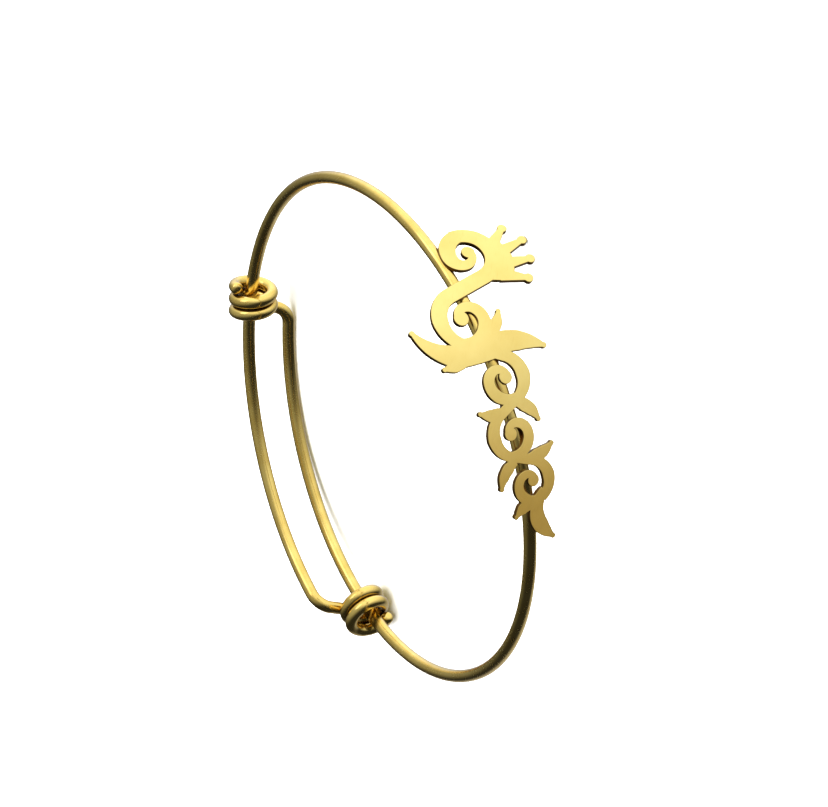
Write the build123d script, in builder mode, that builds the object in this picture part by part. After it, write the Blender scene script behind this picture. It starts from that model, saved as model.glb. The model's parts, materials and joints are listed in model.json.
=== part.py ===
from build123d import *
import os
from math import acos, asin, atan, atan2, cos, hypot, pi, radians, sin, sqrt, tan
from typing import NamedTuple

# A slide bangle of one round wire, with a pierced ornamental plate soldered on its front.
# Millimetres and degrees. It is drawn round its own ring: the middle of the ring is the
# origin, the plate is towards -Y, the overlapped ends of the wire are at the back, +Y,
# and angles on the ring run from +X to +Y. The last step lays it down at rest.

# Wire
wire_diameter = 1.6
ring_radius = 32.0              # to the middle of the wire
ramp_start = 5.0                # angle where an end starts to climb past the other end
ramp_tilt = 5.6                 # between the plane of that climb and the ring's
ramp_sweep = 116.6              # arc of the climb, up to the bend

# Coil that each end makes round the other one
coil_radius = 2.36              # to the middle of the wire
coil_pitch = 1.69
coil_turns = 2.3
coil_angle = 131.0              # on the ring, at the middle of the coil
coil_pull = 0.42                # how far its own end draws the coil off the wire inside it
bend_radius = 2.2
end_rounding = 0.6              # of the cut ends' rims

# Plate
plate_inside = 32.55            # radius of its back, sunk into the wire as the solder is
plate_thickness = 0.6
plate_half_height = 14.0
near_plane = 24.0               # distances from the ring's axis of the two flat sections
far_plane = 38.0                # between which the plate's walls run out radially

# How it lies on a table: on a crown tip, and on the back of the ring
rest_pitch = -6.04              # about X, which lifts the front
rest_roll = -2.88               # about Y


class Volute(NamedTuple):
    """A circle of the scroll on the flat plate, placed along it and up towards the crown."""

    along: float
    up: float
    radius: float
    turn: int                   # +1 where the stem passes under it to the right, -1 over it
    stem: float                 # width of the stem at the circle
    link: float                 # width of the stem half way to the next circle
    ball: float                 # radius of the ball that ends its curl, 0 where it has none


class Sprig(NamedTuple):
    """A leaf or tendril: its start, its heading, its arcs, its widths and its end."""

    start: tuple
    heading: float
    arcs: list                  # (radius, degrees turned), to the left where positive
    widths: list                # evenly spread along it
    ball: float                 # radius of its round end


VOLUTES = [
    Volute(-16.9, 2.95, 3.2, -1, 2.2, 2.0, 0),
    Volute(-9.4, -1.2, 3.4, +1, 2.1, 1.5, 0.95),
    Volute(-1.3, -0.1, 2.9, -1, 1.9, 1.3, 0.85),
    Volute(5.2, -0.5, 2.8, +1, 1.8, 1.2, 0.82),
    Volute(11.4, 0.1, 2.65, -1, 1.7, 1.3, 0.78),
]
first_heading = radians(92)     # of the stem where it starts on the first circle
tail_heading = radians(-58)     # of the stem where it leaves the last circle
first_link = 2.0                # width of the stem where it starts
curl_sweep = radians(300)
curl_shrink = 0.3               # last radius of a curl over its first
curl_root = radians(14)         # how far back inside the stem a curl starts
curl_widths = [0.55, 0.85, 0.78, 0.6, 0.5]                  # over the width of its stem
ball_proud = 0.1                # how far a ball stands out of its ribbon's outer side

SPRIGS = [
    Sprig((-20.1, 3.6), 271, [(2.8, 85), (1.5, 95), (1.35, 100)],
          [2.0, 2.1, 2.0, 1.5, 1.1, 0.95], 0.85),
    Sprig((-4.6, 1.8), 266, [(60, -5), (6.5, -64)], [1.2, 2.0, 2.4, 2.7, 2.5, 1.7, 0.6], 0.38),
    Sprig((-5.2, -3.0), 300, [(6.0, -36)], [0.9, 1.8, 1.6, 0.5], 0.33),
    Sprig((-6.3, -1.0), 72, [(40, 6), (9, -26)], [1.0, 2.1, 2.7, 2.5, 1.7, 0.6], 0.38),
    Sprig((-6.7, -0.4), 94, [(4.0, 62)], [1.0, 1.7, 1.5, 0.5], 0.33),
    Sprig((2.4, -0.7), -75, [(4.2, -50)], [0.9, 1.7, 1.5, 0.5], 0.33),
    Sprig((1.7, 0.5), 72, [(3.7, -60)], [0.9, 1.7, 1.5, 0.5], 0.33),
    Sprig((8.4, 0.3), 76, [(4.2, 52)], [0.9, 1.7, 1.5, 0.5], 0.33),
    Sprig((8.4, -1.2), -74, [(3.6, 62)], [0.9, 1.6, 1.4, 0.5], 0.33),
    Sprig((12.9, 1.9), -58, [(3.0, 84), (7, 24)], [1.3, 1.8, 2.1, 2.0, 1.4, 0.5], 0.33),
    Sprig((13.8, 0.6), -92, [(3.6, 52)], [0.9, 1.7, 1.5, 0.5], 0.33),
]

# Crown: a band on the shoulder of the first circle, and prongs with ball tips
crown_band = [(-18.0, 5.7), (-17.9, 6.6), (-17.5, 7.9), (-15.3, 8.3), (-13.3, 7.6),
              (-12.5, 6.4), (-12.5, 5.4), (-13.3, 3.2), (-14.6, 4.9)]
crown_feet = [(-16.9, 6.0), (-16.0, 6.4), (-14.6, 6.4), (-13.4, 5.6)]
crown_tips = [(-19.2, 9.2), (-16.8, 10.6), (-14.1, 10.2), (-11.8, 8.7)]
prong_widths = [2.0, 1.35, 0.7]
prong_ball = 0.6


def on_circle(centre, radius, turn, heading):
    """Where a path that turns that way round a circle has that heading, and the heading."""
    x = centre[0] + turn * radius * sin(heading)
    y = centre[1] - turn * radius * cos(heading)
    return x, y, heading


def curl(centre, radius, turn, heading, sweep, shrink, steps=14):
    """A spiral round a centre that closes in evenly."""
    shares = [step / steps for step in range(steps + 1)]
    return [on_circle(centre, radius * shrink**share, turn, heading + turn * sweep * share)
            for share in shares]


def link_heading(first, second):
    """Heading of the straight stem that leaves one circle and meets the next."""
    across, rise = second.along - first.along, second.up - first.up
    lean = (second.turn * second.radius - first.turn * first.radius) / hypot(across, rise)
    return atan2(rise, across) - asin(lean)


def sprig_path(sprig, steps=8):
    """The arcs of a leaf or tendril as points with headings."""
    x, y = sprig.start
    heading = radians(sprig.heading)
    path = [(x, y, heading)]
    for radius, turned in sprig.arcs:
        turn = 1 if turned > 0 else -1
        centre = (x - turn * radius * sin(heading), y + turn * radius * cos(heading))
        path += [on_circle(centre, radius, turn, heading + radians(turned) * step / steps)
                 for step in range(1, steps + 1)]
        x, y, heading = path[-1]
    return path


def flat(x, y):
    """A point of the flat plate on the near plane, stretched so that its length is true."""
    middle_radius = plate_inside + plate_thickness / 2
    return near_plane * tan(x / middle_radius), y


def width_at(widths, share):
    """The width at a share of a path along which the widths are evenly spread."""
    place = share * (len(widths) - 1)
    index = min(int(place), len(widths) - 2)
    return widths[index] + (widths[index + 1] - widths[index]) * (place - index)


def ribbon(path, widths):
    """Add the face of a ribbon along a path."""
    sides = []
    for side in (1, -1):
        points = []
        for index, (x, y, heading) in enumerate(path):
            half = side * width_at(widths, index / (len(path) - 1)) / 2
            points.append(flat(x - half * sin(heading), y + half * cos(heading)))
        sides.append(points)
    left, right = sides
    with BuildLine() as outline:
        Spline(*left)
        Line(left[-1], right[-1])
        Spline(*reversed(right))
        Line(right[0], left[0])
    make_face(outline.edges())


def disc(x, y, radius):
    """Add a face that is round once the plate is bent: on the near plane it is stretched."""
    middle_radius = plate_inside + plate_thickness / 2
    stretch = near_plane / middle_radius / cos(x / middle_radius) ** 2
    with Locations(flat(x, y)):
        Ellipse(radius * stretch, radius)


def round_end(path, width, radius, side):
    """Add the ball that ends a ribbon, swelling towards one side of it."""
    x, y, heading = path[-1]
    inset = side * (radius - width / 2 - ball_proud)
    disc(x - inset * sin(heading), y + inset * cos(heading), radius)


def add_link(start, end, width):
    """Add the straight stretch of stem between two points of one heading."""
    side_x, side_y = -width / 2 * sin(start[2]), width / 2 * cos(start[2])
    middle = ((start[0] + end[0]) / 2, (start[1] + end[1]) / 2)
    stations = [start[:2], middle, end[:2]]
    left = [flat(x + side_x, y + side_y) for x, y in stations]
    right = [flat(x - side_x, y - side_y) for x, y in stations]
    with BuildLine() as outline:
        Polyline(*left, *reversed(right), close=True)
    make_face(outline.edges())


def radial(outline):
    """The solid whose walls run straight out from the ring's axis through a flat outline."""
    ratio = far_plane / near_plane
    far = outline.scale((ratio, 1, 1), about=(0, 0, 0)).moved(Location((0, near_plane - far_plane, 0)))
    return Solid.make_loft([outline, far.wires()[0]], ruled=True)


def wire_along(path):
    """Sweep the round wire along a path into the part that is being built."""
    with BuildSketch(Plane(origin=path @ 0, z_dir=path % 0)) as section:
        Circle(wire_diameter / 2)
    sweep(sections=section.sketch, path=path)


def on_ramp(swept):
    """Place and heading of an end of the wire, so many radians up its tilted circle."""
    start, tilt = radians(ramp_start), radians(ramp_tilt)
    out = Vector(cos(start), sin(start), 0)
    along = Vector(-sin(start), cos(start), 0)
    inward = Vector(0, 0, sin(tilt)) - out * cos(tilt)
    centre = (out + inward) * ring_radius
    place = centre + (along * sin(swept) - inward * cos(swept)) * ring_radius
    return place, inward * sin(swept) + along * cos(swept)


def opposite(place):
    """The same place on the other end, which is this one turned half round about Y."""
    return Vector(-place.X, place.Y, -place.Z)


# Scroll: a stem that waves over and under its circles, curls inside them, and leaves
headings = [first_heading]
headings += [link_heading(first, second) for first, second in zip(VOLUTES[:-1], VOLUTES[1:])]
headings.append(tail_heading)
links = [first_link] + [volute.link for volute in VOLUTES]

near = Plane(origin=(0, -near_plane, 0), x_dir=(-1, 0, 0), z_dir=(0, -1, 0))
with BuildSketch(near) as scroll:
    for index, volute in enumerate(VOLUTES):
        start, end = headings[index], headings[index + 1]
        stem = [on_circle(volute, volute.radius, volute.turn, start + (end - start) * step / 8)
                for step in range(9)]
        ribbon(stem, [links[index], volute.stem, volute.link])
        if volute is not VOLUTES[-1]:
            after = VOLUTES[index + 1]
            add_link(stem[-1], on_circle(after, after.radius, after.turn, end), volute.link)
        if volute.ball:
            inner = curl(volute, volute.radius, volute.turn, end - volute.turn * curl_root,
                         curl_sweep, curl_shrink)
            ribbon(inner, [share * volute.stem for share in curl_widths])
            round_end(inner, curl_widths[-1] * volute.stem, volute.ball, volute.turn)
    for sprig in SPRIGS:
        path = sprig_path(sprig)
        ribbon(path, sprig.widths)
        round_end(path, sprig.widths[-1], sprig.ball, 1 if sprig.arcs[-1][1] > 0 else -1)
    with BuildLine() as band:
        Polyline(*[flat(x, y) for x, y in crown_band], close=True)
    make_face(band.edges())
    for (foot_x, foot_y), (tip_x, tip_y) in zip(crown_feet, crown_tips):
        lean = atan2(tip_y - foot_y, tip_x - foot_x)
        middle_x, middle_y = (foot_x + tip_x) / 2, (foot_y + tip_y) / 2
        ribbon([(foot_x, foot_y, lean), (middle_x, middle_y, lean), (tip_x, tip_y, lean)],
               prong_widths)
        disc(tip_x, tip_y, prong_ball)

# Plate: the stretch of a thin tube that lies inside the scroll's radial walls
with BuildPart() as plate:
    with BuildSketch(Plane.XY.offset(-plate_half_height)):
        Circle(plate_inside + plate_thickness)
        Circle(plate_inside, mode=Mode.SUBTRACT)
    extrude(amount=2 * plate_half_height)
    pattern = scroll.sketch.faces()[0]
    add(radial(pattern.outer_wire()), mode=Mode.INTERSECT)
    for opening in pattern.inner_wires():
        add(radial(opening), mode=Mode.SUBTRACT)

# Ring: round the front, and up a climb at each end
run_end, run_heading = on_ramp(radians(ramp_sweep))
climb_middle, _ = on_ramp(radians(ramp_sweep / 2))
climb_foot, _ = on_ramp(0)
with BuildLine() as ring_line:
    ThreePointArc(run_end, climb_middle, climb_foot)
    ThreePointArc(climb_foot, (0, -ring_radius, 0), opposite(climb_foot))
    ThreePointArc(opposite(climb_foot), opposite(climb_middle), opposite(run_end))

# Axis of the coil: beside the other end's run, and parallel to this end's heading
passing, _ = on_ramp(radians(180 - coil_angle - ramp_start))
passing = opposite(passing)
outward = Vector(passing.X, passing.Y, 0)
outward = (outward - run_heading * outward.dot(run_heading)).normalized()
across = run_heading.cross(outward)
coil_length = coil_pitch * coil_turns
coil_start = passing - across * coil_pull - run_heading * (coil_length / 2)

# Seen along that axis, the wire comes from the run straight onto the coil's circle
reach_out = (run_end - coil_start).dot(outward)
reach_across = (run_end - coil_start).dot(across)
reach = hypot(reach_out, reach_across)
first_angle = atan2(reach_across, reach_out) + acos(coil_radius / reach)
first_arm = outward * cos(first_angle) + across * sin(first_angle)
coil_slope = atan(coil_pitch / (2 * pi * coil_radius))
first_point = coil_start + first_arm * coil_radius
level_heading = across * cos(first_angle) - outward * sin(first_angle)
straight = sqrt(reach**2 - coil_radius**2)
corner = first_point - level_heading * straight - run_heading * straight * tan(coil_slope)

# One end: the bend, the coil's turns, and a rounded cut end
with BuildPart() as wire_end:
    with BuildLine() as bend_line:
        FilletPolyline(run_end, corner, first_point, radius=bend_radius)
    bend_path = bend_line.wires()[0]
    wire_along(bend_path)
    coil_plane = Plane(origin=coil_start, x_dir=first_arm, z_dir=run_heading)
    coil_path = Edge.make_helix(coil_pitch, coil_length, coil_radius).moved(coil_plane.location)
    wire_along(coil_path)
    tip, tip_heading = coil_path @ 1, coil_path % 1
    aside = tip_heading.cross(run_heading).normalized()
    with BuildSketch(Plane(origin=tip, x_dir=aside, z_dir=aside.cross(tip_heading))) as cut_end:
        with BuildLine():
            rounding = JernArc((wire_diameter / 2, 0), (0, 1), end_rounding, 90)
            Polyline(rounding @ 1, (0, end_rounding), (0, 0), (wire_diameter / 2, 0))
        make_face()
    revolve(cut_end.sketch, axis=Axis(tip, tip_heading))

# Bangle: ring, ends and plate are one soldered piece of metal
with BuildPart() as bangle:
    wire_along(ring_line.wires()[0])
    add(wire_end.part)
    add(wire_end.part.rotate(Axis.Y, 180))
    add(plate.part)

# Laid down, with the middle of its base at the origin
laid = bangle.part.rotate(Axis.X, rest_pitch).rotate(Axis.Y, rest_roll)
box = laid.bounding_box()
ring_middle = Vector(-(box.min.X + box.max.X) / 2, -(box.min.Y + box.max.Y) / 2, -box.min.Z)
laid = laid.moved(Location(ring_middle))
laid.label = "nameplate_bangle"

os.makedirs("parts", exist_ok=True)
export_step(laid, "parts/nameplate_bangle.step")

wire_length = ring_line.wires()[0].length + 2 * (bend_path.length + coil_path.length)
print(f"wire length {wire_length:.2f}, straight run before the bend {(corner - run_end).length:.2f}")
print(f"middle of the ring at rest {ring_middle}")
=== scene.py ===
"""Dresses the bangle: one gold wire with its two coils, and the pierced plate on its front.

Every length is in millimetres round the ring's own middle, with the plate towards -Y and the
overlapped ends at the back, until a mesh is laid down at rest, which turns it into metres.
"""
from __future__ import annotations

import json
import logging
import math
from dataclasses import dataclass, field
from enum import IntEnum

import bpy
import numpy as np
from mathutils import Matrix, Vector
from mathutils.geometry import delaunay_2d_cdt

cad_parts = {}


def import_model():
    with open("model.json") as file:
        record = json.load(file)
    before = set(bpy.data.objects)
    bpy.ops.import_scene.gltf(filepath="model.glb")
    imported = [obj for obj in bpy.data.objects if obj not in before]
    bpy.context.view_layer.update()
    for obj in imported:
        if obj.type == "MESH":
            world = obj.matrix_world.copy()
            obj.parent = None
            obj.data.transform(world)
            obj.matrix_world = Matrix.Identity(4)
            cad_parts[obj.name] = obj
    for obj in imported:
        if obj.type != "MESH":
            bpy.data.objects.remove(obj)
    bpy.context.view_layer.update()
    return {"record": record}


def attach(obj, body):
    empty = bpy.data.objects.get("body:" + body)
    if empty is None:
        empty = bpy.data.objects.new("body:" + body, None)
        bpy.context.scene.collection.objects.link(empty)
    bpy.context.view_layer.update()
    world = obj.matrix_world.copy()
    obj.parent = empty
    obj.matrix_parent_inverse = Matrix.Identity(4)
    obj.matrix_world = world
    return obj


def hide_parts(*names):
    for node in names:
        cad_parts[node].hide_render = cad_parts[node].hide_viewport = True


log = logging.getLogger("bangle")

BANGLE_NODE = "nameplate_bangle"
BODY = "root"
METRES = 0.001                      # in a millimetre
PLACE = "place"                     # where a vertex is on its own wire or plate
PAINTED_SHADE = "shade"                     # how much painted shade a vertex takes: in the creases between turns of the wire, and on the plate's cut edges
WIRE_PIECE = "bangle_wire"
PLATE_PIECE = "scroll_plate"
BLOTCH_EDGES = (0.32, 0.68)         # of the noise, between the pale tone and the deep one
GRAIN_SCALE = 9.0                   # per millimetre
SCRATCH_SLANT = 0.6                 # radians that the scratches turn from the marks
SCRATCH_STRETCH = (0.45, 8.0, 8.0)  # per millimetre, along and across a scratch
SCRATCH_EDGES = (0.64, 0.70)        # of the noise, high enough to keep the scratches few
SCRATCH_DEPTH = -0.4                # beside the height of the marks
SCRATCH_DULLNESS = 0.12             # roughness that a scratch adds


class Turn(IntEnum):
    """Which way the stem waves past a circle of the scroll."""

    OVER = -1
    UNDER = 1


def unit(vector: np.ndarray) -> np.ndarray:
    """The vector, or each row of vectors, at length one."""
    return vector / np.linalg.norm(vector, axis=-1, keepdims=True)


def eased(value: np.ndarray) -> np.ndarray:
    """A share from 0 to 1 with soft ends."""
    share = np.clip(value, 0.0, 1.0)
    return share * share * (3.0 - 2.0 * share)


@dataclass(frozen=True)
class Rest:
    """How the ring lies on the table."""

    middle: np.ndarray              # of the ring, in metres
    axes: np.ndarray                # the ring's X, Y and Z as columns

    @classmethod
    def from_record(cls, record: dict) -> Rest:
        """Reads the ring's middle and axis from the mount that the wrist goes through.

        Args:
            record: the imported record.

        Returns:
            The place of the ring at rest, whose own X axis has no part along the table's Y.
        """
        mount = next(item for item in record["mounts"] if item["name"] == "wrist")
        along_z = unit(np.array(mount["axis"]))
        along_x = unit(np.array([along_z[2], 0.0, -along_z[0]]))
        axes = np.column_stack([along_x, np.cross(along_z, along_x), along_z])
        return cls(np.array(mount["pos_m"]), axes)

    def turned(self, vectors: np.ndarray) -> np.ndarray:
        """Directions of the ring as directions of the table."""
        return np.asarray(vectors) @ self.axes.T

    def placed(self, points: np.ndarray) -> np.ndarray:
        """Points of the ring, in millimetres, as points of the table, in metres."""
        return self.turned(points) * METRES + self.middle


@dataclass
class Surface:
    """A mesh that is being put together."""

    points: list = field(default_factory=list)
    normals: list = field(default_factory=list)
    places: list = field(default_factory=list)
    shades: list = field(default_factory=list)
    faces: list = field(default_factory=list)

    def add(self, points: np.ndarray, normals: np.ndarray, places: np.ndarray,
            shades: np.ndarray) -> int:
        """Adds vertices.

        Args:
            points: where they are, round the ring's middle.
            normals: which way the surface faces there.
            places: where they are on the wire or the plate, for its texture.
            shades: how much painted shade they take, as a dark tone.

        Returns:
            The number of the first one.
        """
        first = sum(len(block) for block in self.points)
        self.points.append(points)
        self.normals.append(normals)
        self.places.append(places)
        self.shades.append(shades)
        return first

    def build(self, name: str, rest: Rest) -> bpy.types.Object:
        """Makes the Blender object, laid down at rest.

        Args:
            name: the piece's name.
            rest: where the ring lies.

        Returns:
            The object, with smooth faces and the normals that were given.
        """
        mesh = bpy.data.meshes.new(name)
        mesh.from_pydata(rest.placed(np.vstack(self.points)).tolist(), [], self.faces)
        mesh.attributes.new(PLACE, "FLOAT_VECTOR", "POINT").data.foreach_set(
            "vector", np.vstack(self.places).astype(np.float32).ravel())
        mesh.attributes.new(PAINTED_SHADE, "FLOAT", "POINT").data.foreach_set(
            "value", np.concatenate(self.shades).astype(np.float32))
        mesh.shade_smooth()
        mesh.normals_split_custom_set_from_vertices(
            unit(rest.turned(np.vstack(self.normals))).tolist())
        piece = bpy.data.objects.new(name, mesh)
        bpy.context.scene.collection.objects.link(piece)
        return piece


@dataclass
class Wire:
    """The round wire: a ring that climbs past itself at the back, and a coil at each end."""

    diameter: float = 1.6
    ring_radius: float = 32.0
    ramp_start: float = math.radians(5.0)
    ramp_tilt: float = math.radians(5.6)
    ramp_sweep: float = math.radians(116.6)
    coil_radius: float = 2.36
    coil_pitch: float = 1.69
    coil_turns: float = 2.3
    coil_angle: float = math.radians(131.0)
    coil_pull: float = 0.42
    bend_radius: float = 2.2
    end_rounding: float = 0.6
    step: float = 0.4               # between two sections of a long run
    sides: int = 28

    def on_ramp(self, swept: float) -> tuple[np.ndarray, np.ndarray]:
        """A place on the tilted circle that one end climbs.

        Args:
            swept: radians from its foot.

        Returns:
            The place and the heading there.
        """
        out = np.array([math.cos(self.ramp_start), math.sin(self.ramp_start), 0.0])
        along = np.array([-out[1], out[0], 0.0])
        inward = np.array([0.0, 0.0, math.sin(self.ramp_tilt)]) - out * math.cos(self.ramp_tilt)
        centre = (out + inward) * self.ring_radius
        place = centre + (along * math.sin(swept) - inward * math.cos(swept)) * self.ring_radius
        return place, inward * math.sin(swept) + along * math.cos(swept)

    @staticmethod
    def opposite(points: np.ndarray) -> np.ndarray:
        """The same points on the other end, which is this one turned half round about Y."""
        return points * np.array([-1.0, 1.0, -1.0])

    def bent(self, start: np.ndarray, corner: np.ndarray, end: np.ndarray) -> np.ndarray:
        """Points of the rounded corner between two straight stretches."""
        before, after = unit(corner - start), unit(end - corner)
        turned = math.acos(float(before @ after))
        inset = self.bend_radius * math.tan(turned / 2)
        across = unit(after - before * (after @ before))
        angles = np.linspace(0.0, turned, 24)[:, None]
        arc = before * np.sin(angles) + across * (1 - np.cos(angles))
        return corner - before * inset + arc * self.bend_radius

    def end_path(self) -> np.ndarray:
        """Points of one end, from the top of its climb through the bend and the coil."""
        run_end, run_heading = self.on_ramp(self.ramp_sweep)
        passing = self.opposite(self.on_ramp(math.pi - self.coil_angle - self.ramp_start)[0])
        outward = passing * np.array([1.0, 1.0, 0.0])
        outward = unit(outward - run_heading * (outward @ run_heading))
        across = np.cross(run_heading, outward)
        length = self.coil_pitch * self.coil_turns
        coil_start = passing - across * self.coil_pull - run_heading * length / 2

        reach_out, reach_across = (run_end - coil_start) @ outward, (run_end - coil_start) @ across
        reach = math.hypot(reach_out, reach_across)
        first_angle = math.atan2(reach_across, reach_out) + math.acos(self.coil_radius / reach)
        first_arm = outward * math.cos(first_angle) + across * math.sin(first_angle)
        level = across * math.cos(first_angle) - outward * math.sin(first_angle)
        slope = self.coil_pitch / (2 * math.pi * self.coil_radius)
        straight = math.sqrt(reach**2 - self.coil_radius**2)
        first_point = coil_start + first_arm * self.coil_radius
        corner = first_point - level * straight - run_heading * straight * slope

        turned = np.linspace(0.0, 2 * math.pi * self.coil_turns, 150)[:, None]
        coil = (coil_start + run_heading * self.coil_pitch * turned / (2 * math.pi)
                + first_arm * self.coil_radius * np.cos(turned)
                + np.cross(run_heading, first_arm) * self.coil_radius * np.sin(turned))
        return np.vstack([self.bent(run_end, corner, first_point), coil])

    def path(self) -> np.ndarray:
        """Points along the middle of the whole wire, from one cut end to the other."""
        foot = self.ramp_start
        ring_angles = np.arange(-math.pi - foot, foot, self.step / self.ring_radius)
        ring = np.stack([np.cos(ring_angles), np.sin(ring_angles), 0 * ring_angles], 1)
        sweeps = np.arange(0.0, self.ramp_sweep, self.step / self.ring_radius)
        climb = np.array([self.on_ramp(swept)[0] for swept in sweeps])
        end = np.vstack([climb, self.end_path()])
        return np.vstack([self.opposite(end)[::-1], ring * self.ring_radius, end])

    def sections(self) -> tuple[np.ndarray, np.ndarray, np.ndarray, np.ndarray]:
        """Middles, headings, radii and slopes of the wire's sections, rounded ends included.

        Returns:
            The four arrays. A slope is the angle by which the surface turns to face along the
            wire, from -90 degrees on the first cut end to 90 degrees on the last.
        """
        path = self.path()
        headings = unit(np.gradient(path, axis=0))
        angles = np.linspace(0.0, math.pi / 2, 8)[1:]
        flat_radius = self.diameter / 2 - self.end_rounding
        cap_radii = flat_radius + self.end_rounding * np.cos(angles)
        cap_reach = self.end_rounding * np.sin(angles)[:, None]
        first = path[0] - headings[0] * cap_reach
        last = path[-1] + headings[-1] * cap_reach
        middles = np.vstack([first[::-1], path, last])
        repeats = [len(angles)] + [1] * (len(path) - 2) + [len(angles)]
        headings = np.vstack([np.repeat(headings[:1], len(angles), 0), headings,
                              np.repeat(headings[-1:], len(angles), 0)])
        level = np.full(len(path), self.diameter / 2)
        radii = np.concatenate([cap_radii[::-1], level, cap_radii])
        slopes = np.concatenate([-angles[::-1], 0 * level, angles])
        return middles, headings, radii, slopes

    def nearness(self, points: np.ndarray, along: np.ndarray) -> np.ndarray:
        """How closely other turns of the wire crowd each point, from 0 to 1.

        Args:
            points: points on the surface.
            along: how far along the wire each one is.

        Returns:
            A share for each point, which is 1 where another turn touches it.
        """
        path = self.path()[::2]
        steps = np.linalg.norm(np.diff(path, axis=0), axis=1)
        lengths = np.concatenate([[0.0], np.cumsum(steps)])
        own_stretch, reach = 5.0, 0.55
        crowded = np.zeros(len(points))
        for start in range(0, len(points), 2000):
            block = slice(start, start + 2000)
            apart = np.linalg.norm(points[block, None] - path[None], axis=2)
            apart[np.abs(along[block, None] - lengths[None]) < own_stretch] = np.inf
            crowded[block] = 1 - (apart.min(1) - self.diameter / 2) / reach
        return eased(crowded)

    def build(self, rest: Rest) -> bpy.types.Object:
        """Sweeps the wire as one smooth surface."""
        middles, headings, radii, slopes = self.sections()
        steps = np.linalg.norm(np.diff(middles, axis=0), axis=1)
        lengths = np.concatenate([[0.0], np.cumsum(steps)])
        arm = unit(np.cross(headings[0], [0.0, 0.0, 1.0]))
        angles = np.linspace(0.0, 2 * math.pi, self.sides, endpoint=False)[:, None]
        points, normals, places = [], [], []
        for middle, heading, radius, slope, length in zip(middles, headings, radii, slopes, lengths):
            arm = unit(arm - heading * (arm @ heading))
            around = arm * np.cos(angles) + np.cross(heading, arm) * np.sin(angles)
            points.append(middle + around * radius)
            normals.append(around * math.cos(slope) + heading * math.sin(slope))
            places.append(np.hstack([np.full_like(angles, length), np.cos(angles) * radius,
                                     np.sin(angles) * radius]))
        every_point = np.vstack(points)
        # painted shade: the wire darkens where other turns crowd it, in the creases of the coils
        shades = self.nearness(every_point, np.repeat(lengths, self.sides))
        surface = Surface()
        surface.add(every_point, np.vstack(normals), np.vstack(places), shades)
        for ring in range(len(middles) - 1):
            low, high = ring * self.sides, (ring + 1) * self.sides
            for side in range(self.sides):
                after = (side + 1) % self.sides
                surface.faces.append((low + side, low + after, high + after, high + side))
        surface.faces.append(tuple(range(self.sides))[::-1])
        last = (len(middles) - 1) * self.sides
        surface.faces.append(tuple(range(last, last + self.sides)))
        return surface.build(WIRE_PIECE, rest)


@dataclass(frozen=True)
class Volute:
    """A circle of the scroll on the flat plate, placed along it and up towards the crown."""

    along: float
    up: float
    radius: float
    turn: Turn
    stem: float                     # width of the stem at the circle
    link: float                     # width of the stem half way to the next circle
    ball: float                     # radius of the ball that ends its curl, 0 where it has none

    def at(self, heading: float, radius: float | None = None,
           turn: int | None = None) -> tuple[float, float, float]:
        """Where a path that turns round the circle has a heading, and that heading."""
        reach = (self.radius if radius is None else radius) * (turn or self.turn)
        return (self.along + reach * math.sin(heading), self.up - reach * math.cos(heading),
                heading)


@dataclass(frozen=True)
class Sprig:
    """A leaf or tendril: its start, its heading, its arcs, its widths and its round end."""

    start: tuple
    heading: float
    arcs: tuple                     # (radius, degrees turned), to the left where positive
    widths: tuple                   # evenly spread along it
    ball: float

    def path(self, steps: int = 16) -> np.ndarray:
        """Its arcs as points with headings."""
        x, y = self.start
        heading = math.radians(self.heading)
        path = [(x, y, heading)]
        for radius, turned in self.arcs:
            reach = math.copysign(radius, turned)
            middle_x, middle_y = x - reach * math.sin(heading), y + reach * math.cos(heading)
            for step in range(1, steps + 1):
                now = heading + math.radians(turned) * step / steps
                path.append((middle_x + reach * math.sin(now), middle_y - reach * math.cos(now), now))
            x, y, heading = path[-1]
        return np.array(path)


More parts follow.
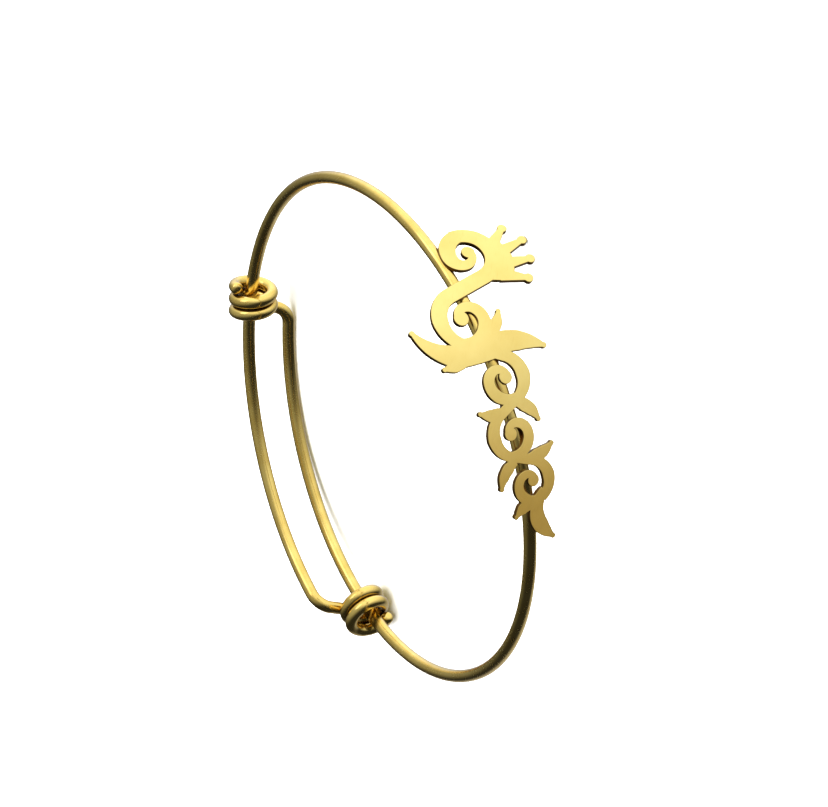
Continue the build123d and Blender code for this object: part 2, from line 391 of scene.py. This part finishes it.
@dataclass
class ScrollPlate:
    """The pierced plate: a stem that waves over and under five circles, leaves and a crown."""

    inside: float = 32.55           # radius of its back
    thickness: float = 0.6
    rim: float = 0.08               # rounding of its edges
    fineness: float = 0.5           # between points of its front
    first_heading: float = math.radians(92)
    tail_heading: float = math.radians(-58)
    first_link: float = 2.0
    curl_sweep: float = math.radians(300)
    curl_shrink: float = 0.3
    curl_root: float = math.radians(14)
    curl_widths: tuple = (0.55, 0.85, 0.78, 0.6, 0.5)
    ball_proud: float = 0.1
    volutes: tuple = (
        Volute(-16.9, 2.95, 3.2, Turn.OVER, 2.2, 2.0, 0.0),
        Volute(-9.4, -1.2, 3.4, Turn.UNDER, 2.1, 1.5, 0.95),
        Volute(-1.3, -0.1, 2.9, Turn.OVER, 1.9, 1.3, 0.85),
        Volute(5.2, -0.5, 2.8, Turn.UNDER, 1.8, 1.2, 0.82),
        Volute(11.4, 0.1, 2.65, Turn.OVER, 1.7, 1.3, 0.78),
    )
    sprigs: tuple = (
        Sprig((-20.1, 3.6), 271, ((2.8, 85), (1.5, 95), (1.35, 100)),
              (2.0, 2.1, 2.0, 1.5, 1.1, 0.95), 0.85),
        Sprig((-4.6, 1.8), 266, ((60, -5), (6.5, -64)), (1.2, 2.0, 2.4, 2.7, 2.5, 1.7, 0.6), 0.38),
        Sprig((-5.2, -3.0), 300, ((6.0, -36),), (0.9, 1.8, 1.6, 0.5), 0.33),
        Sprig((-6.3, -1.0), 72, ((40, 6), (9, -26)), (1.0, 2.1, 2.7, 2.5, 1.7, 0.6), 0.38),
        Sprig((-6.7, -0.4), 94, ((4.0, 62),), (1.0, 1.7, 1.5, 0.5), 0.33),
        Sprig((2.4, -0.7), -75, ((4.2, -50),), (0.9, 1.7, 1.5, 0.5), 0.33),
        Sprig((1.7, 0.5), 72, ((3.7, -60),), (0.9, 1.7, 1.5, 0.5), 0.33),
        Sprig((8.4, 0.3), 76, ((4.2, 52),), (0.9, 1.7, 1.5, 0.5), 0.33),
        Sprig((8.4, -1.2), -74, ((3.6, 62),), (0.9, 1.6, 1.4, 0.5), 0.33),
        Sprig((12.9, 1.9), -58, ((3.0, 84), (7, 24)), (1.3, 1.8, 2.1, 2.0, 1.4, 0.5), 0.33),
        Sprig((13.8, 0.6), -92, ((3.6, 52),), (0.9, 1.7, 1.5, 0.5), 0.33),
    )
    crown_band: tuple = ((-18.0, 5.7), (-17.9, 6.6), (-17.5, 7.9), (-15.3, 8.3), (-13.3, 7.6),
                         (-12.5, 6.4), (-12.5, 5.4), (-13.3, 3.2), (-14.6, 4.9))
    crown_feet: tuple = ((-16.9, 6.0), (-16.0, 6.4), (-14.6, 6.4), (-13.4, 5.6))
    crown_tips: tuple = ((-19.2, 9.2), (-16.8, 10.6), (-14.1, 10.2), (-11.8, 8.7))
    prong_widths: tuple = (2.0, 1.35, 0.7)
    prong_ball: float = 0.6

    @staticmethod
    def ribbon(path: np.ndarray, widths: tuple) -> np.ndarray:
        """The outline of a ribbon of changing width along a path."""
        path = np.asarray(path)
        shares = np.linspace(0.0, 1.0, len(path))
        halves = np.interp(shares, np.linspace(0.0, 1.0, len(widths)), widths)[:, None] / 2
        aside = np.stack([-np.sin(path[:, 2]), np.cos(path[:, 2])], 1) * halves
        return np.vstack([path[:, :2] - aside, (path[:, :2] + aside)[::-1]])

    @staticmethod
    def disc(x: float, y: float, radius: float) -> np.ndarray:
        """The outline of a round spot."""
        count = max(20, int(radius * 44))
        angles = np.linspace(0.0, 2 * math.pi, count, endpoint=False) + 0.05
        return np.stack([x + radius * np.cos(angles), y + radius * np.sin(angles)], 1)

    def round_end(self, path: np.ndarray, width: float, radius: float, side: int) -> np.ndarray:
        """The outline of the ball that ends a ribbon, swelling towards one side of it."""
        x, y, heading = path[-1]
        inset = side * (radius - width / 2 - self.ball_proud)
        return self.disc(x - inset * math.sin(heading), y + inset * math.cos(heading), radius)

    @staticmethod
    def link_heading(first: Volute, second: Volute) -> float:
        """Heading of the straight stem that leaves one circle and meets the next."""
        across, rise = second.along - first.along, second.up - first.up
        lean = (second.turn * second.radius - first.turn * first.radius) / math.hypot(across, rise)
        return math.atan2(rise, across) - math.asin(lean)

    def curl(self, volute: Volute, turn: int, heading: float, sweep: float,
             shrink: float) -> np.ndarray:
        """A spiral inside a circle that closes in evenly, as points with headings."""
        shares = np.linspace(0.0, 1.0, 56)
        return np.array([volute.at(heading + turn * sweep * share, volute.radius * shrink**share,
                                   turn) for share in shares])

    def strokes(self) -> list[np.ndarray]:
        """Outlines of every stroke, which overlap where they join."""
        headings = [self.first_heading]
        headings += [self.link_heading(*pair) for pair in zip(self.volutes[:-1], self.volutes[1:])]
        headings.append(self.tail_heading)
        links = [self.first_link] + [volute.link for volute in self.volutes]
        shapes = []
        for index, volute in enumerate(self.volutes):
            start, end = headings[index], headings[index + 1]
            stem = np.array([volute.at(start + (end - start) * step / 20) for step in range(21)])
            shapes.append(self.ribbon(stem, (links[index], volute.stem, volute.link)))
            if index + 1 < len(self.volutes):
                after = np.array(self.volutes[index + 1].at(end))
                straight = np.linspace(stem[-1], after, 12)
                straight[:, 2] = end
                shapes.append(self.ribbon(straight, (volute.link, volute.link)))
            if volute.ball:
                inner = self.curl(volute, volute.turn, end - volute.turn * self.curl_root,
                                  self.curl_sweep, self.curl_shrink)
                widths = tuple(share * volute.stem for share in self.curl_widths)
                shapes += [self.ribbon(inner, widths),
                           self.round_end(inner, widths[-1], volute.ball, volute.turn)]
        for sprig in self.sprigs:
            path = sprig.path()
            side = 1 if sprig.arcs[-1][1] > 0 else -1
            shapes += [self.ribbon(path, sprig.widths),
                       self.round_end(path, sprig.widths[-1], sprig.ball, side)]
        return shapes + self.crown()

    def crown(self) -> list[np.ndarray]:
        """Outlines of the crown's band, prongs and ball tips."""
        shapes = [np.array(self.crown_band)]
        for foot, tip in zip(self.crown_feet, self.crown_tips):
            lean = math.atan2(tip[1] - foot[1], tip[0] - foot[0])
            prong = np.column_stack([np.linspace(foot, tip, 17), np.full(17, lean)])
            shapes += [self.ribbon(prong, self.prong_widths), self.disc(*tip, self.prong_ball)]
        return shapes

    def loops(self) -> list[np.ndarray]:
        """The closed outlines of all the strokes merged, with the metal on their left."""
        vertices, rings = [], []
        for shape in map(self.leftward, self.strokes()):
            rings.append(list(range(len(vertices), len(vertices) + len(shape))))
            vertices += [Vector(point) for point in shape]
        points, _, faces, _, _, sources = delaunay_2d_cdt(vertices, [], rings, 0, 1e-5, True)
        follows: dict[int, int] = {}
        metal = [face for face, source in zip(faces, sources) if source]
        directed = {(face[k], face[(k + 1) % len(face)]) for face in metal for k in range(len(face))}
        for start, end in directed:
            if (end, start) not in directed:
                follows[start] = end
        loops = []
        while follows:
            start, now = follows.popitem()
            loop = [start]
            while now != start:
                loop.append(now)
                now = follows.pop(now)
            loops.append(self.thinned(np.array([points[k][:] for k in loop])))
        return loops

    @staticmethod
    def leftward(loop: np.ndarray) -> np.ndarray:
        """A closed outline that goes round with its inside on the left."""
        after = np.roll(loop, -1, 0)
        area = (loop[:, 0] * after[:, 1] - after[:, 0] * loop[:, 1]).sum() / 2
        return loop if area > 0 else loop[::-1]

    @staticmethod
    def thinned(loop: np.ndarray, least: float = 0.03) -> np.ndarray:
        """A closed outline without its crowded points."""
        kept = [loop[0]]
        for point in loop[1:]:
            if np.linalg.norm(point - kept[-1]) > least:
                kept.append(point)
        if np.linalg.norm(kept[-1] - kept[0]) < least:
            kept.pop()
        return np.array(kept)

    @staticmethod
    def outward(loop: np.ndarray) -> tuple[np.ndarray, np.ndarray]:
        """Which way the edge faces at each point, and how far a mitre stretches there."""
        edges = unit(np.roll(loop, -1, 0) - loop)
        sides = np.stack([edges[:, 1], -edges[:, 0]], 1)
        before = np.roll(sides, 1, 0)
        facing = unit(sides + before)
        stretch = 1 / np.clip((facing * sides).sum(1), 0.6, 1.0)
        return facing, stretch

    @staticmethod
    def inside_loops(points: np.ndarray, loops: list[np.ndarray]) -> np.ndarray:
        """Whether each point lies on the metal."""
        crossings = np.zeros(len(points), int)
        for loop in loops:
            start, end = loop, np.roll(loop, -1, 0)
            spans = (start[:, 1] > points[:, 1, None]) != (end[:, 1] > points[:, 1, None])
            rise = np.where(end[:, 1] == start[:, 1], 1e-12, end[:, 1] - start[:, 1])
            share = (points[:, 1, None] - start[:, 1]) / rise
            crossing = start[:, 0] + share * (end[:, 0] - start[:, 0])
            crossings += (spans & (crossing > points[:, 0, None])).sum(1)
        return crossings % 2 == 1

    def bent(self, flat: np.ndarray, depth: float | np.ndarray) -> tuple[np.ndarray, np.ndarray]:
        """Bends points of the flat plate round the wrist.

        Args:
            flat: places along and up the plate.
            depth: how far behind its front they are.

        Returns:
            The points, and the way straight out from the wrist at each.
        """
        angles = flat[:, 0] / (self.inside + self.thickness / 2)
        out = np.stack([-np.sin(angles), -np.cos(angles), 0 * angles], 1)
        radius = np.broadcast_to(self.inside + self.thickness - depth, angles.shape)
        return out * radius[:, None] - np.outer(flat[:, 1], [0.0, 0.0, 1.0]), out

    def face_net(self, loops: list[np.ndarray]) -> tuple[np.ndarray, list]:
        """Triangles that fill the flat face inside its rims.

        Args:
            loops: the rims, drawn in from the outlines.

        Returns:
            The points, those of the rims first and in their order, and the triangles.
        """
        rims = np.vstack(loops)
        low, high = rims.min(0), rims.max(0)
        across = np.arange(low[0], high[0], self.fineness)
        upward = np.arange(low[1], high[1], self.fineness)
        grid = np.array([(x, y) for y in upward for x in across])
        grid = grid[self.inside_loops(grid, loops)]
        apart = np.array([np.linalg.norm(rims - point, axis=1).min() for point in grid])
        points = np.vstack([rims, grid[apart > self.fineness * 0.45]])
        edges, first = [], 0
        for loop in loops:
            count = len(loop)
            edges += [(first + k, first + (k + 1) % count) for k in range(count)]
            first += count
        found = delaunay_2d_cdt([Vector(point) for point in points], edges, [], 0, 1e-7, True)
        origin = {index: sources[0] for index, sources in enumerate(found[3]) if sources}
        middles = np.array([[sum(found[0][k][axis] for k in face) / 3 for axis in (0, 1)]
                            for face in found[2]])
        inside = self.inside_loops(middles, loops)
        return points, [tuple(origin[k] for k in face)
                        for face, kept in zip(found[2], inside) if kept]

    def build(self, rest: Rest) -> bpy.types.Object:
        """Makes the plate with rounded edges, bent to the ring."""
        loops = self.loops()
        counts = [len(loop) for loop in loops]
        flat = np.vstack(loops)
        facing, stretch = map(np.concatenate, zip(*(self.outward(loop) for loop in loops)))
        surface = Surface()
        quarter = np.linspace(0.0, math.pi / 2, 5)
        profile = [(self.rim * (1 - math.sin(a)), self.rim * (1 - math.cos(a)), a) for a in quarter]
        profile += [(inset, self.thickness - depth, math.pi - a)
                    for inset, depth, a in reversed(profile)]
        firsts = []
        for inset, depth, angle in profile:
            drawn = flat - facing * (inset * stretch)[:, None]
            points, out = self.bent(drawn, depth)
            sideways = self.bent(flat + facing * 0.01, depth)[0] - self.bent(flat, depth)[0]
            normals = out * math.cos(angle) + unit(sideways) * math.sin(angle)
            places = np.column_stack([drawn, np.full(len(flat), depth)])
            # painted shade: the cut edge walls take the dark tone, the flat faces none
            shade = np.full(len(flat), eased(math.sin(angle) * 1.2 - 0.2))
            firsts.append(surface.add(points, normals, places, shade))
        for upper, lower in zip(firsts[:-1], firsts[1:]):
            start = 0
            for count in counts:
                for k in range(count):
                    here, after = start + k, start + (k + 1) % count
                    surface.faces.append((upper + here, lower + here, lower + after, upper + after))
                start += count
        rims = [loop - self.outward(loop)[0] * (self.rim * self.outward(loop)[1])[:, None]
                for loop in loops]
        net, triangles = self.face_net(rims)
        inner = net[len(flat):]
        for first, depth, way in ((firsts[0], 0.0, 1), (firsts[-1], self.thickness, -1)):
            points, out = self.bent(inner, depth)
            places = np.column_stack([inner, np.full(len(inner), depth)])
            extra = surface.add(points, out * way, places, np.zeros(len(inner)))
            number = [first + k if k < len(flat) else extra + k - len(flat)
                      for k in range(len(net))]
            for face in triangles:
                surface.faces.append(tuple(number[k] for k in face[::way]))
        return surface.build(PLATE_PIECE, rest)


class Sheet:
    """A node tree that is being wired up."""

    def __init__(self, tree: bpy.types.NodeTree) -> None:
        """Takes the tree, emptied."""
        self.tree = tree
        tree.nodes.clear()

    def add(self, kind: str, **values: object) -> bpy.types.Node:
        """Adds a node.

        Args:
            kind: its type, without the leading ShaderNode.
            **values: its settings, its inputs by name with _ for a space, and those that
                share a name by number after a _.

        Returns:
            The node.
        """
        node = self.tree.nodes.new(f"ShaderNode{kind}")
        for name, value in values.items():
            if hasattr(node, name) and not isinstance(value, bpy.types.NodeSocket):
                setattr(node, name, value)
                continue
            by_number = name.startswith("_")
            self.feed(node.inputs[int(name[1:]) if by_number else name.replace("_", " ")], value)
        return node

    def feed(self, socket: bpy.types.NodeSocket, value: object) -> None:
        """Links a socket to another one, or sets its value."""
        if isinstance(value, bpy.types.NodeSocket):
            self.tree.links.new(value, socket)
        else:
            socket.default_value = value

    def group(self, tree: bpy.types.NodeTree, **values: object) -> bpy.types.Node:
        """Places a node group, with its inputs by name."""
        node = self.tree.nodes.new("ShaderNodeGroup")
        node.node_tree = tree
        for name, value in values.items():
            self.feed(node.inputs[name.replace("_", " ")], value)
        return node


def new_group(name: str, inputs: dict[str, str], outputs: dict[str, str]) -> bpy.types.NodeTree:
    """Makes a shader node group with named sockets.

    Args:
        name: the group's name.
        inputs: each input's name and kind.
        outputs: each output's name and kind.

    Returns:
        The group's empty tree.
    """
    tree = bpy.data.node_groups.new(name, "ShaderNodeTree")
    for in_out, sockets in (("INPUT", inputs), ("OUTPUT", outputs)):
        for label, kind in sockets.items():
            tree.interface.new_socket(label, in_out=in_out, socket_type=f"NodeSocket{kind}")
    return tree


def make_worn_metal_and_painted_shade() -> bpy.types.NodeTree:
    """The colour of handled metal: slow blotches between two tones, and painted shade in its creases
    and on its cut edges, as a dark tone.

    Returns:
        A group that takes Place, Pale, Deep, Tint, Shade and Scale, and gives Color and Blotch.
    """
    tree = new_group("worn_metal_and_painted_shade", {"Place": "Vector", "Pale": "Color", "Deep": "Color",
                                    "Tint": "Color", "Shade": "Float", "Scale": "Float"},
                     {"Color": "Color", "Blotch": "Float"})
    sheet = Sheet(tree)
    given = tree.nodes.new("NodeGroupInput").outputs
    slow = sheet.add("TexNoise", Vector=given["Place"], Scale=given["Scale"], Detail=4.0,
                     Roughness=0.55)
    blotch = sheet.add("MapRange", Value=slow.outputs["Fac"], From_Min=BLOTCH_EDGES[0],
                       From_Max=BLOTCH_EDGES[1])
    tone = sheet.add("Mix", data_type="RGBA", _0=blotch.outputs["Result"], _6=given["Pale"],
                     _7=given["Deep"])
    # painted shade: the dark tone is mixed in as far as each vertex's shade attribute asks
    with_painted_shade = sheet.add("Mix", data_type="RGBA", _0=given["Shade"], _6=tone.outputs[2],
                       _7=given["Tint"])
    result = tree.nodes.new("NodeGroupOutput")
    tree.links.new(with_painted_shade.outputs[2], result.inputs["Color"])
    tree.links.new(blotch.outputs["Result"], result.inputs["Blotch"])
    return tree


def make_fine_marks() -> bpy.types.NodeTree:
    """Fine marks that run one way over a finer even grain, and a few scratches across them.

    Returns:
        A group that takes Place, Run, Grain and Lines, and gives Height and Scratch.
    """
    tree = new_group("fine_marks", {"Place": "Vector", "Run": "Vector", "Grain": "Float",
                                    "Lines": "Float"}, {"Height": "Float", "Scratch": "Float"})
    sheet = Sheet(tree)
    given = tree.nodes.new("NodeGroupInput").outputs
    run = sheet.add("VectorMath", operation="MULTIPLY", _0=given["Place"], _1=given["Run"])
    lines = sheet.add("TexNoise", Vector=run.outputs[0], Scale=1.0, Detail=3.0, Roughness=0.6)
    grain = sheet.add("TexNoise", Vector=given["Place"], Scale=GRAIN_SCALE, Detail=2.0,
                      Roughness=0.6)
    long_marks = sheet.add("Math", operation="MULTIPLY", _0=lines.outputs["Fac"], _1=given["Lines"])
    marks = sheet.add("Math", operation="MULTIPLY_ADD", _0=grain.outputs["Fac"],
                      _1=given["Grain"], _2=long_marks.outputs[0])
    aslant = sheet.add("VectorRotate", rotation_type="Z_AXIS", Vector=given["Place"],
                       Angle=SCRATCH_SLANT)
    drawn_out = sheet.add("VectorMath", operation="MULTIPLY", _0=aslant.outputs[0],
                          _1=SCRATCH_STRETCH)
    sparse = sheet.add("TexNoise", Vector=drawn_out.outputs[0], Scale=1.0, Detail=1.0)
    scratch = sheet.add("MapRange", Value=sparse.outputs["Fac"], From_Min=SCRATCH_EDGES[0],
                        From_Max=SCRATCH_EDGES[1])
    height = sheet.add("Math", operation="MULTIPLY_ADD", _0=scratch.outputs["Result"],
                       _1=SCRATCH_DEPTH, _2=marks.outputs[0])
    result = tree.nodes.new("NodeGroupOutput")
    tree.links.new(height.outputs[0], result.inputs["Height"])
    tree.links.new(scratch.outputs["Result"], result.inputs["Scratch"])
    return tree


@dataclass(frozen=True)
class GoldFinish:
    """A gold surface: its tones, the dark tone of its painted shade, its gloss and its fine marks."""

    name: str
    pale: tuple
    deep: tuple
    # the dark tone of painted shade, laid in the wire's creases and on the plate's cut edges
    painted_shade_tone: tuple
    rough: tuple                    # from, to, across the blotches
    blotch: float                   # scale of the blotches, per millimetre
    run: tuple                      # marks per millimetre along each of the surface's own axes
    lines: float                    # how much of the height is marks
    grain: float                    # and how much is grain
    relief: float                   # height of the marks, in metres

    def build(self, worn_metal_and_painted_shade: bpy.types.NodeTree,
              fine_marks: bpy.types.NodeTree) -> bpy.types.Material:
        """Makes the material.

        Args:
            worn_metal_and_painted_shade: the group that gives the colour, painted shade included.
            fine_marks: the group that gives the marks' height.

        Returns:
            The material.
        """
        material = bpy.data.materials.new(self.name)
        material.use_nodes = True
        sheet = Sheet(material.node_tree)
        place = sheet.add("Attribute", attribute_name=PLACE).outputs["Vector"]
        shade = sheet.add("Attribute", attribute_name=PAINTED_SHADE).outputs["Fac"]
        worn = sheet.group(worn_metal_and_painted_shade, Place=place, Pale=self.pale, Deep=self.deep, Tint=self.painted_shade_tone,
                           Shade=shade, Scale=self.blotch)
        marks = sheet.group(fine_marks, Place=place, Run=self.run, Grain=self.grain,
                            Lines=self.lines)
        bump = sheet.add("Bump", Height=marks.outputs["Height"], Strength=1.0, Distance=self.relief)
        rough = sheet.add("MapRange", Value=worn.outputs["Blotch"], To_Min=self.rough[0],
                          To_Max=self.rough[1])
        scuffed = sheet.add("Math", operation="MULTIPLY_ADD", _0=marks.outputs["Scratch"],
                            _1=SCRATCH_DULLNESS, _2=rough.outputs["Result"])
        metal = sheet.add("BsdfPrincipled", Base_Color=worn.outputs["Color"], Metallic=1.0,
                          Roughness=scuffed.outputs[0], Normal=bump.outputs["Normal"])
        output = sheet.add("OutputMaterial")
        sheet.tree.links.new(metal.outputs["BSDF"], output.inputs["Surface"])
        return material


# The third tone of each finish is painted shade: dark brown in the wire's creases and on the plate's
# cut edges.
POLISHED_WIRE = GoldFinish(
    name="polished_wire", pale=(0.90, 0.69, 0.27, 1), deep=(0.76, 0.54, 0.17, 1),
    painted_shade_tone=(0.20, 0.10, 0.02, 1), rough=(0.13, 0.21), blotch=0.35, run=(0.25, 3.0, 3.0), lines=1.0,
    grain=0.35, relief=0.000003)
SATIN_PLATE = GoldFinish(
    name="satin_plate", pale=(0.93, 0.76, 0.34, 1), deep=(0.86, 0.67, 0.26, 1),
    painted_shade_tone=(0.16, 0.08, 0.02, 1), rough=(0.36, 0.44), blotch=0.12, run=(0.6, 7.0, 4.0), lines=0.5,
    grain=0.5, relief=0.00001)


@dataclass
class Bangle:
    """The whole bangle: wire and plate."""

    wire: Wire = field(default_factory=Wire)
    plate: ScrollPlate = field(default_factory=ScrollPlate)

    def build(self, rest: Rest) -> None:
        """Builds the pieces, dresses them and sets them on the body."""
        worn_metal_and_painted_shade, fine_marks = make_worn_metal_and_painted_shade(), make_fine_marks()
        for maker, finish in ((self.wire, POLISHED_WIRE), (self.plate, SATIN_PLATE)):
            piece = maker.build(rest)
            piece.data.materials.append(finish.build(worn_metal_and_painted_shade, fine_marks))
            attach(piece, BODY)
            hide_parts(BANGLE_NODE)
            log.info("%s: %d faces", piece.name, len(piece.data.polygons))


@dataclass(frozen=True)
class Glow:
    """A soft patch of light in the room that the metal mirrors."""

    towards: tuple                  # from the ring's middle, on the ring's own axes
    fades: float                    # degrees from its middle to where it starts to fade
    ends: float                     # and to where it ends
    tone: tuple


@dataclass(frozen=True)
class Softbox:
    """An area light that faces the bangle."""

    name: str
    towards: tuple                  # from the ring's middle, on the ring's own axes
    distance: float                 # from it, in metres
    size: tuple                     # width and height, in metres
    power: float                    # in watts
    tone: tuple

    def build(self, rest: Rest) -> bpy.types.Object:
        """Adds the light, facing the ring's middle."""
        lamp = bpy.data.lights.new(self.name, "AREA")
        lamp.shape = "RECTANGLE"
        lamp.size, lamp.size_y = self.size
        lamp.energy = self.power
        lamp.color = self.tone
        way = Vector(unit(rest.turned(np.array(self.towards))))
        light = bpy.data.objects.new(self.name, lamp)
        light.location = Vector(rest.middle) + way * self.distance
        light.rotation_mode = "QUATERNION"
        light.rotation_quaternion = way.to_track_quat("Z", "Y")
        bpy.context.scene.collection.objects.link(light)
        return light


@dataclass
class Studio:
    """The camera at the photograph's angle, a plain pale floor and soft lights."""

    elevation: float = math.radians(26.4)       # of the camera above the ring's plane
    roll: float = math.radians(108.6)
    distance: float = 600.0
    aim: tuple = (3.19, 3.05)                   # right of and above the ring's middle
    lens: float = 212.1
    sensor: float = 36.0
    floor_size: float = 6.0
    floor_tone: tuple = (0.9, 0.9, 0.9, 1)
    dimness: tuple = (0.03, 0.03, 0.026, 1)
    glows: tuple = (
        Glow((0.88, -0.23, 0.42), 40.0, 110.0, (0.42, 0.42, 0.31)),     # wide, on the crown's side
        Glow((0.79, -0.42, -0.44), 25.0, 92.0, (1.0, 1.0, 0.80)),       # that the plate mirrors
        Glow((0.61, 0.61, -0.50), 10.0, 45.0, (0.35, 0.37, 0.55)),      # low behind the crown's side
        Glow((-0.41, 0.71, -0.57), 12.0, 50.0, (0.50, 0.50, 0.52)),     # low behind the bangle
    )
    key: Softbox = Softbox("high_softbox", (0.71, -0.3, 0.63), 0.7, (0.3, 0.4), 0.4, (1, 0.98, 0.9))
    wash: Softbox = Softbox("floor_wash", (0.0, 0.0, 1.0), 1.6, (2.4, 2.4), 110.0, (1, 1, 1))
    card: Softbox = Softbox("tail_card", (-0.62, -0.64, -0.45), 0.4, (0.5, 0.3), 0.22,
                            (1.0, 0.78, 0.36))

    def add_camera(self, rest: Rest) -> None:
        """Adds the camera and makes it the scene's."""
        back = np.array([0.0, -math.cos(self.elevation), math.sin(self.elevation)])
        level = np.array([1.0, 0.0, 0.0])
        rise = np.cross(back, level)
        right = level * math.cos(self.roll) - rise * math.sin(self.roll)
        up = level * math.sin(self.roll) + rise * math.cos(self.roll)
        aim = right * self.aim[0] + up * self.aim[1]
        axes = rest.turned(np.array([right, up, back]))
        camera = bpy.data.objects.new("camera", bpy.data.cameras.new("camera"))
        camera.data.lens = self.lens
        camera.data.sensor_width = self.sensor
        camera.data.clip_end = 10.0
        place = Matrix(axes.T.tolist()).to_4x4()
        place.translation = Vector(rest.placed(aim + back * self.distance))
        camera.matrix_world = place
        bpy.context.scene.collection.objects.link(camera)
        bpy.context.scene.camera = camera

    def add_floor(self) -> None:
        """Adds the floor that the bangle lies on."""
        half = self.floor_size / 2
        mesh = bpy.data.meshes.new("floor")
        mesh.from_pydata([(-half, -half, 0), (half, -half, 0), (half, half, 0), (-half, half, 0)],
                         [], [(0, 1, 2, 3)])
        floor = bpy.data.objects.new("floor", mesh)
        material = bpy.data.materials.new("pale_floor")
        material.use_nodes = True
        sheet = Sheet(material.node_tree)
        coat = sheet.add("BsdfPrincipled", Base_Color=self.floor_tone, Roughness=0.9)
        output = sheet.add("OutputMaterial")
        sheet.tree.links.new(coat.outputs["BSDF"], output.inputs["Surface"])
        mesh.materials.append(material)
        floor.visible_glossy = False
        bpy.context.scene.collection.objects.link(floor)

    def add_card(self, rest: Rest, plate: bpy.types.Object) -> None:
        """Adds the warm card, low in front, that lights the tail of the plate and nothing else."""
        card = self.card.build(rest)
        alone = bpy.data.collections.new("plate_alone")
        alone.objects.link(plate)
        card.light_linking.receiver_collection = alone
        card.light_linking.blocker_collection = alone

    def add_room(self, rest: Rest) -> None:
        """Adds the dim room with its glows for the metal, white where the camera looks past it."""
        world = bpy.data.worlds.new("room")
        world.use_nodes = True
        bpy.context.scene.world = world
        sheet = Sheet(world.node_tree)
        way = sheet.add("TexCoord").outputs["Generated"]
        light = sheet.add("RGB").outputs["Color"]
        light.default_value = self.dimness
        for glow in self.glows:
            towards = tuple(unit(rest.turned(np.array(glow.towards))))
            facing = sheet.add("VectorMath", operation="DOT_PRODUCT", _0=way, _1=towards)
            share = sheet.add("MapRange", interpolation_type="SMOOTHSTEP",
                              Value=facing.outputs["Value"],
                              From_Min=math.cos(math.radians(glow.ends)),
                              From_Max=math.cos(math.radians(glow.fades)))
            patch = sheet.add("VectorMath", operation="SCALE", _0=glow.tone,
                              Scale=share.outputs["Result"])
            light = sheet.add("VectorMath", operation="ADD", _0=light,
                              _1=patch.outputs["Vector"]).outputs["Vector"]
        dim = sheet.add("Background", Color=light, Strength=1.0)
        white = sheet.add("Background", Color=(1, 1, 1, 1), Strength=1.0)
        seen = sheet.add("LightPath").outputs["Is Camera Ray"]
        mixed = sheet.add("MixShader", _0=seen, _1=dim.outputs[0], _2=white.outputs[0])
        output = sheet.add("OutputWorld")
        sheet.tree.links.new(mixed.outputs[0], output.inputs["Surface"])

    def build(self, rest: Rest) -> None:
        """Sets up everything that isn't the bangle, after it."""
        self.add_camera(rest)
        self.add_floor()
        self.add_room(rest)
        self.key.build(rest)
        self.wash.build(rest).visible_glossy = False
        self.add_card(rest, bpy.data.objects[PLATE_PIECE])
        bpy.context.scene.view_settings.view_transform = "Standard"


def main() -> None:
    """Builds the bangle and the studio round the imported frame."""
    logging.basicConfig(level=logging.INFO, format="%(name)s: %(message)s")
    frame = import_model()
    rest = Rest.from_record(frame["record"])
    Bangle().build(rest)
    Studio().build(rest)


if __name__ == "__main__":
    main()
